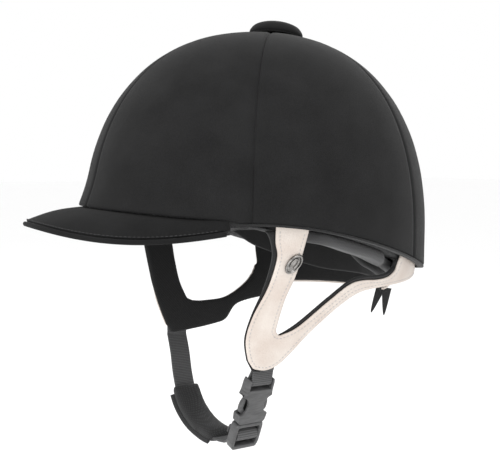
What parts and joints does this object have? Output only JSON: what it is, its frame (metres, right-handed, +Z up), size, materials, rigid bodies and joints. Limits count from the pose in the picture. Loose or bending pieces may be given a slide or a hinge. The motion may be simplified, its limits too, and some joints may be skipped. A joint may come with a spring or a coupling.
{
  "type": "equestrian riding helmet",
  "caption": "Velvet-covered riding hat with a fixed peak, a leather and fabric harness laced at the nape, and a padded chin strap with a side-release buckle.",
  "frame": {"origin": "centre of the head opening on the mid-plane, level with the side of the rim", "axes": "+Z up through the crown, -Y towards the peak at the front, +X towards the rider's left, where the buckle is"},
  "size_m": [0.2178, 0.3114, 0.3113],
  "materials": {
    "velvet": "matt velvet pile",
    "black_fabric": "matt woven cloth",
    "grey_fabric": "matt knitted cloth",
    "pale_leather": "smooth, lightly grained",
    "black_plastic": "satin",
    "grey_plastic": "satin",
    "foam": "matt expanded foam",
    "webbing": "ribbed webbing",
    "steel": "aged nickel"
  },
  "bodies": {
    "helmet": {"velvet_gore_front_left": "velvet", "velvet_gore_side_left": "velvet", "velvet_gore_rear_left": "velvet", "velvet_gore_rear_right": "velvet", "velvet_gore_side_right": "velvet", "velvet_gore_front_right": "velvet", "hard_shell": "black_plastic", "rim_binding": "black_fabric", "impact_liner": "foam", "rim_roll": "grey_fabric", "headband": "black_fabric", "crown_pad": "black_fabric", "button_cover": "velvet", "button_core": "black_plastic", "button_rivet": "steel", "button_washer": "steel", "peak_top_velvet": "velvet", "peak_core": "black_plastic", "peak_under_lining": "black_fabric", "peak_piping": "velvet", "rear_bow_ribbon": "velvet", "rear_bow_knot": "velvet", "yoke_leather_left": "pale_leather", "yoke_lining_left": "black_fabric", "nape_leather_left": "pale_leather", "nape_lining_left": "black_fabric", "nape_eyelet_left_1": "steel", "nape_eyelet_left_2": "steel", "badge_left": "steel", "rivet_front_left": "steel", "rivet_side_left": "steel", "rivet_rear_left": "steel", "lace_tail_left": "black_fabric", "yoke_leather_right": "pale_leather", "yoke_lining_right": "black_fabric", "nape_leather_right": "pale_leather", "nape_lining_right": "black_fabric", "nape_eyelet_right_1": "steel", "nape_eyelet_right_2": "steel", "badge_right": "steel", "rivet_front_right": "steel", "rivet_side_right": "steel", "rivet_rear_right": "steel", "lace_tail_right": "black_fabric", "strap_tab_right": "webbing", "nape_lace": "black_fabric", "lace_knot": "black_fabric", "strap_loop_left": "webbing", "buckle_socket": "grey_plastic"},
    "strap": {"chin_strap": "webbing", "chin_pad": "black_fabric", "buckle_plug": "grey_plastic"},
    "prong_front": {"buckle_prong_front": "grey_plastic"},
    "prong_rear": {"buckle_prong_rear": "grey_plastic"}
  },
  "joints": [
    {"name": "chin_strap_swing", "type": "hinge", "parent": "helmet", "child": "strap", "pos_m": [-0.0577, -0.0437, -0.0975], "axis": [-0.1126, 0.9882, -0.1043], "range_deg": [0, 70], "deforming": ["buckle_prong_front", "buckle_prong_rear"]},
    {"name": "prong_front_squeeze", "type": "hinge", "parent": "strap", "child": "prong_front", "pos_m": [0.0423, -0.04423, -0.13858], "axis": [-0.9593, -0.0808, 0.2704], "range_deg": [0, 13], "stiffness_Nm_per_rad": 0.2},
    {"name": "prong_rear_squeeze", "type": "hinge", "parent": "strap", "child": "prong_rear", "pos_m": [0.04061, -0.02941, -0.14014], "axis": [0.9593, 0.0808, -0.2704], "range_deg": [0, 13], "stiffness_Nm_per_rad": 0.2}
  ]
}
